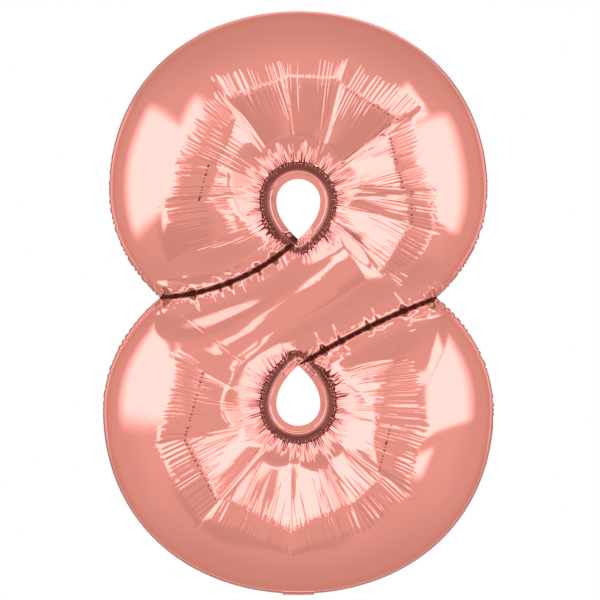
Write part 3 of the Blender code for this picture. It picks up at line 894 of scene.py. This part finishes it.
# --- Materials ---
FILM_COLOUR = (0.925, 0.340, 0.275, 1)
FILM_EDGE_TINT = (0.95, 0.62, 0.55, 1)
SHADOW_COLOUR = (0.065, 0.012, 0.008, 1)  # painted shadow: mixed into the film in the slits, the holes, along the outline and in the crest dots
SEAL_COLOUR = (0.80, 0.40, 0.33)
SLIT_SEAL_SHADE_COLOUR = (0.10, 0.025, 0.018)  # painted shade: the seals at the bottom of the slits, darkened as if in the slits' shadow
CLEAR_COLOUR = (0.90, 0.92, 0.93, 1)
SOFTBOX_COLOUR = (1.0, 0.965, 1.08, 1)
WHITE = (1, 1, 1, 1)
PAINTED_GLOW_FACING = (0.55, 0.70)  # painted reflection: how squarely film faces the front, where its painted glow brightens as seen in other film
# painted reflection: levels of that glow, dark deep between the tubes and bright facing the front
PAINTED_GLOW_LEVEL = (0.48, 2.1)
DOT_LENGTH = (0.0024, 0.00072)  # distances from the crest between which a painted shade dot darkens
DOT_WIDTH = (0.24, 0.072)  # the same across the pleats, as shares of a pleat
# how far a painted shade dot goes towards the painted shadow colour
DOT_DEPTH = 0.8


def set_inputs(tree, node, inputs):
    """Gives each of the node's inputs a value, or a link from another node's output."""
    for key, value in inputs.items():
        if isinstance(value, bpy.types.NodeSocket):
            tree.links.new(value, node.inputs[key])
        else:
            node.inputs[key].default_value = value


def add_node(tree, kind, inputs=None, **settings):
    node = tree.nodes.new(kind)
    for key, value in settings.items():
        setattr(node, key, value)
    set_inputs(tree, node, inputs or {})
    return node


def calculate(tree, operation, *values):
    return add_node(tree, "ShaderNodeMath", dict(enumerate(values)), operation=operation).outputs[0]


def remap(tree, value, source, target=(0.0, 1.0), kind="SMOOTHSTEP"):
    """Carries the range source over to the range target. Either may run backwards."""
    ends = dict(zip(("From Min", "From Max", "To Min", "To Max"), (*source, *target)))
    inputs = {"Value": value, **ends}
    return add_node(tree, "ShaderNodeMapRange", inputs, interpolation_type=kind).outputs["Result"]


def mix_shaders(tree, factor, first, second):
    return add_node(tree, "ShaderNodeMixShader", {0: factor, 1: first, 2: second}).outputs[0]


def object_place(tree):
    return add_node(tree, "ShaderNodeTexCoord").outputs["Object"]


def noise_texture(tree, scale, detail, distortion=0.0):
    inputs = {"Vector": object_place(tree), "Scale": scale, "Detail": detail, "Distortion": distortion}
    return add_node(tree, "ShaderNodeTexNoise", inputs).outputs["Fac"]


def bump(tree, height, strength, distance):
    inputs = {"Height": height, "Strength": strength, "Distance": distance}
    return add_node(tree, "ShaderNodeBump", inputs).outputs[0]


def stored(tree, name):
    """A number that the mesh keeps for each of its points."""
    return add_node(tree, "ShaderNodeAttribute", attribute_name=name).outputs["Fac"]


def new_material(name):
    material = bpy.data.materials.new(name)
    material.use_nodes = True
    tree = material.node_tree
    return material, tree, tree.nodes["Principled BSDF"]


def dots(tree):
    """Painted shade: a dark dot in each pleat on the crest lines."""
    from_crest = calculate(tree, "ABSOLUTE", stored(tree, "crest"))
    from_valley = calculate(tree, "PINGPONG", stored(tree, "pleat"), 0.5)
    near_crest = remap(tree, from_crest, DOT_LENGTH, (0, DOT_DEPTH))
    return calculate(tree, "MULTIPLY", near_crest, remap(tree, from_valley, DOT_WIDTH))


def mirror_film():
    """Aluminium under tinted lacquer: a coloured mirror, with painted shade in the slits, the holes, along
    the outline and in dots on the crests.

    Reflections in other film see a painted reflection: the film glows instead, bright where it faces the
    front and dark deep between the tubes.
    """
    material, tree, shader = new_material("rose_gold_film")
    look = {
        "Base Color": FILM_COLOUR,
        "Metallic": 1.0,
        "Roughness": remap(tree, noise_texture(tree, 35, 5), (0, 1), (0.05, 0.11), "LINEAR"),
        "Specular Tint": FILM_EDGE_TINT,
    }
    set_inputs(tree, shader, look)

    geometry = add_node(tree, "ShaderNodeNewGeometry")
    normal = add_node(tree, "ShaderNodeSeparateXYZ", {0: geometry.outputs["True Normal"]})
    strength = remap(tree, calculate(tree, "ABSOLUTE", normal.outputs["Y"]), PAINTED_GLOW_FACING, PAINTED_GLOW_LEVEL)
    # painted reflection: every ray but the camera's sees the film as this glow, not as a mirror
    glow = add_node(tree, "ShaderNodeEmission", {"Color": SOFTBOX_COLOUR, "Strength": strength})
    path = add_node(tree, "ShaderNodeLightPath")
    lit = mix_shaders(tree, path.outputs["Is Camera Ray"], glow.outputs[0], shader.outputs[0])
    shadow = add_node(tree, "ShaderNodeEmission", {"Color": SHADOW_COLOUR})
    # painted shade: the stored shade and the crest dots mix in the painted shadow colour
    shade = calculate(tree, "MAXIMUM", stored(tree, "painted_shade"), dots(tree))
    surface = mix_shaders(tree, shade, lit, shadow.outputs[0])
    set_inputs(tree, tree.nodes["Material Output"], {"Surface": surface})
    return material


def fused_film(name, colour):
    """Two films pressed together by a knurled heating bar: satin, with a fine cross pattern."""
    material, tree, shader = new_material(name)
    bands = {"Vector": object_place(tree), "Scale": 180, "Distortion": 0.6}
    waves = [add_node(tree, "ShaderNodeTexWave", bands, bands_direction=axis).outputs["Fac"] for axis in "XZ"]
    patches = noise_texture(tree, 90, 4)
    shades = {"Factor": patches, "A": (*(0.8 * v for v in colour), 1), "B": (*colour, 1)}
    tint = add_node(tree, "ShaderNodeMix", shades, data_type="RGBA")
    look = {
        "Base Color": tint.outputs["Result"],
        "Metallic": 0.9,
        "Roughness": remap(tree, patches, (0, 1), (0.25, 0.42), "LINEAR"),
        "Normal": bump(tree, calculate(tree, "MULTIPLY", *waves), 0.5, 0.0002),
    }
    set_inputs(tree, shader, look)
    return material


def clear_film():
    """Milky polyethylene with faint wrinkles."""
    material, tree, shader = new_material("clear_polyethylene")
    wrinkles = noise_texture(tree, 120, 3, 1.5)
    look = {
        "Base Color": CLEAR_COLOUR,
        "Transmission Weight": 0.85,
        "IOR": 1.51,
        "Roughness": remap(tree, wrinkles, (0, 1), (0.18, 0.40), "LINEAR"),
        "Normal": bump(tree, wrinkles, 0.3, 0.0003),
    }
    set_inputs(tree, shader, look)
    return material


def finish_frame_parts():
    """Materials of the frame's own parts that stay visible."""
    seal = fused_film("fused_seal", SEAL_COLOUR)
    shaded_slit_seal = fused_film("shaded_fused_seal", SLIT_SEAL_SHADE_COLOUR)
    clear = clear_film()
    for node, part in frame["nodes"].items():
        if "seal" in node:
            # the slits' seals get the dark copy of the seal material, as painted shade
            material = shaded_slit_seal if "slit" in node else seal
        elif "valve" in node:
            material = clear
        else:
            continue
        part.data.materials.clear()
        part.data.materials.append(material)


# --- Stage ---
FLOOR_LEVEL = BOTTOM - 0.10
FLOOR_RADIUS = 0.69
LENS = 150
FRAME_WIDTH = 1.03004 * HEIGHT
CAMERA_SHIFT = (0.0025, 0.0036)  # to the right of and above the balloon's middle
WALL = 0.95  # distance of the softboxes' walls from the middle
WALL_STEP = 0.002  # from one softbox's plane to the next, so that no two coincide
BRIGHT, DIM = 2.25, 1.05  # levels of the softboxes
# The softboxes on the walls at the balloon's left (-1) and right (1): the wall's side, from and to y, from
# and to z, the fades at the camera's end, the far end, the bottom and the top, and the level.
SOFTBOXES = (
    ("left_softbox", -1, -2.00, 0.125, -0.34, 0.79, (0.10, 0.35, 0.26, 0.12), BRIGHT),
    ("left_low_softbox", -1, -1.65, -0.95, -0.72, -0.20, (0.15, 0.20, 0.20, 0.05), BRIGHT),
    ("left_high_softbox", -1, -3.20, -0.95, 0.62, 1.16, (0.30, 0.55, 0.02, 0.14), BRIGHT),
    ("right_softbox", 1, -2.10, 0.00, -0.22, 0.75, (0.20, 0.40, 0.07, 0.12), BRIGHT),
    ("right_low_softbox", 1, -2.10, -0.95, -0.74, -0.34, (0.30, 0.30, 0.16, 0.08), BRIGHT),
    ("right_high_softbox", 1, -2.10, -0.50, 0.70, 1.32, (0.10, 0.25, 0.05, 0.12), BRIGHT),
    ("left_back_softbox", -1, 0.95, 2.30, -0.50, 0.80, (0.15, 0.15, 0.15, 0.15), DIM),
    ("right_back_softbox", 1, 0.95, 2.30, -0.50, 0.80, (0.15, 0.15, 0.15, 0.15), DIM),
)


def within(tree, angle, low, high, edge):
    """1 where the angle is between low and high, in degrees, with soft edges."""
    rising = remap(tree, angle, np.radians((low - edge, low + edge)))
    falling = remap(tree, angle, np.radians((high + edge, high - edge)))
    return calculate(tree, "MULTIPLY", rising, falling)


def build_world():
    """White behind the balloon for the camera. For reflections, a light grey room.

    The room is lighter in front and at the sides, and a little darker low in front.
    """
    world = bpy.data.worlds.new("studio")
    bpy.context.scene.world = world
    world.use_nodes = True
    tree = world.node_tree
    tree.nodes.clear()
    direction = add_node(tree, "ShaderNodeTexCoord").outputs["Generated"]
    x, y, z = add_node(tree, "ShaderNodeSeparateXYZ", {0: direction}).outputs
    front = calculate(tree, "MULTIPLY", y, -1.0)
    azimuth = calculate(tree, "ARCTAN2", x, front)  # 0 towards the camera, positive to the right
    elevation = calculate(tree, "ARCSINE", z)
    ahead = within(tree, azimuth, -45, 18, 6)
    low_ahead = calculate(tree, "MULTIPLY", ahead, within(tree, elevation, -55, -24, 6))
    sides = remap(tree, calculate(tree, "ABSOLUTE", x), (0.45, 0.9))
    level = calculate(tree, "MULTIPLY_ADD", remap(tree, front, (-0.1, 0.85)), 0.15, 0.69)
    level = calculate(tree, "MULTIPLY_ADD", low_ahead, -0.14, level)
    level = calculate(tree, "MULTIPLY_ADD", sides, 0.09, level)
    room = add_node(tree, "ShaderNodeBackground", {"Color": WHITE, "Strength": level})
    backdrop = add_node(tree, "ShaderNodeBackground", {"Color": WHITE})
    path = add_node(tree, "ShaderNodeLightPath").outputs
    plain = calculate(tree, "MAXIMUM", path["Is Camera Ray"], path["Is Diffuse Ray"])
    surface = mix_shaders(tree, plain, room.outputs[0], backdrop.outputs[0])
    add_node(tree, "ShaderNodeOutputWorld", {"Surface": surface})


def build_softbox(name, centre, facing, width, height, level, fades):
    """A glowing panel that only reflections see.

    facing turns its right-hand end from +X towards -Y, in degrees. fades are the widths of the soft margins
    at its left, right, bottom and top.
    """
    x, z = width / 2, height / 2
    mesh = bpy.data.meshes.new(name)
    mesh.from_pydata([(-x, 0, -z), (x, 0, -z), (x, 0, z), (-x, 0, z)], [], [(0, 1, 2, 3)])
    panel = bpy.data.objects.new(name, mesh)
    panel.location = centre
    panel.rotation_euler = (0, 0, -math.radians(facing))
    panel.visible_camera = False
    panel.visible_shadow = False
    panel.visible_diffuse = False
    bpy.context.scene.collection.objects.link(panel)

    material, tree, shader = new_material(name)
    tree.nodes.remove(shader)
    place = add_node(tree, "ShaderNodeSeparateXYZ", {0: object_place(tree)}).outputs
    coverage = 1.0
    for axis, edge, fade in zip("XXZZ", (-x, x, -z, z), fades):
        margin = remap(tree, place[axis], (edge, edge - math.copysign(fade, edge)))
        coverage = calculate(tree, "MULTIPLY", coverage, margin)
    clear = add_node(tree, "ShaderNodeBsdfTransparent")
    glow = add_node(tree, "ShaderNodeEmission", {"Color": SOFTBOX_COLOUR, "Strength": level})
    surface = mix_shaders(tree, coverage, clear.outputs[0], glow.outputs[0])
    set_inputs(tree, tree.nodes["Material Output"], {"Surface": surface})
    mesh.materials.append(material)


def build_floor():
    """A pale disc that fades out before its edge and doesn't show from below."""
    place = (0, 0, FLOOR_LEVEL)
    bpy.ops.mesh.primitive_circle_add(vertices=96, radius=FLOOR_RADIUS, fill_type="NGON", location=place)
    floor = bpy.context.object
    floor.name = "floor"
    floor.visible_glossy = False
    material, tree, shader = new_material("pale_floor")
    distance = add_node(tree, "ShaderNodeVectorMath", {0: object_place(tree)}, operation="LENGTH")
    fade = remap(tree, distance.outputs["Value"], (FLOOR_RADIUS, 0.35 * FLOOR_RADIUS))
    underside = add_node(tree, "ShaderNodeNewGeometry").outputs["Backfacing"]
    cover = add_node(tree, "ShaderNodeMath", {0: fade, 1: underside}, operation="SUBTRACT", use_clamp=True)
    look = {"Base Color": (0.88, 0.87, 0.86, 1), "Roughness": 0.9, "Alpha": cover.outputs[0]}
    set_inputs(tree, shader, look)
    floor.data.materials.append(material)


def build_camera():
    """Square to the front, so far away that the balloon just fits the frame."""
    data = bpy.data.cameras.new("camera")
    data.lens = LENS
    data.clip_end = 50
    camera = bpy.data.objects.new("camera", data)
    bpy.context.scene.collection.objects.link(camera)
    distance = FRAME_WIDTH * LENS / data.sensor_width
    camera.location = (CAMERA_SHIFT[0], -distance, MIDDLE + CAMERA_SHIFT[1])
    camera.rotation_euler = (math.pi / 2, 0, 0)
    bpy.context.scene.camera = camera


def build_stage():
    bpy.context.scene.view_settings.view_transform = "Standard"
    build_world()
    for number, (name, side, front, rear, low, high, fades, level) in enumerate(SOFTBOXES):
        wall = WALL + WALL_STEP * number
        ends, margins = fades[:2][::-side], fades[2:]
        centre = (side * wall, (front + rear) / 2, (low + high) / 2)
        build_softbox(name, centre, side * 90, rear - front, high - low, level, ends + margins)
    build_softbox("top_softbox", (0.25, -1.54, 0.69), 0, 1.50, 0.36, 2.1, (0.60, 0.15, 0.05, 0.08))
    build_floor()
    build_camera()


# --- Assembly ---
film = mirror_film()
fine, height = inflated()
seams = find_seams(fine.inner)
gores = (
    find_gores(UPPER, fine.inner, fine.stations),
    find_gores(LOWER, fine.inner, LENGTH - fine.stations),
)
for name, side, seed in (("front", -1, 11), ("back", 1, 977)):
    panel = build_panel(f"{name}_film", fine, height, gores, seams, side, seed, film)
    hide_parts(f"{name}_panel")
build_tail(film)
build_hang_tab("left_hang_tab", "left_tab", film)
build_hang_tab("right_hang_tab", "right_tab", film)
finish_frame_parts()
build_stage()
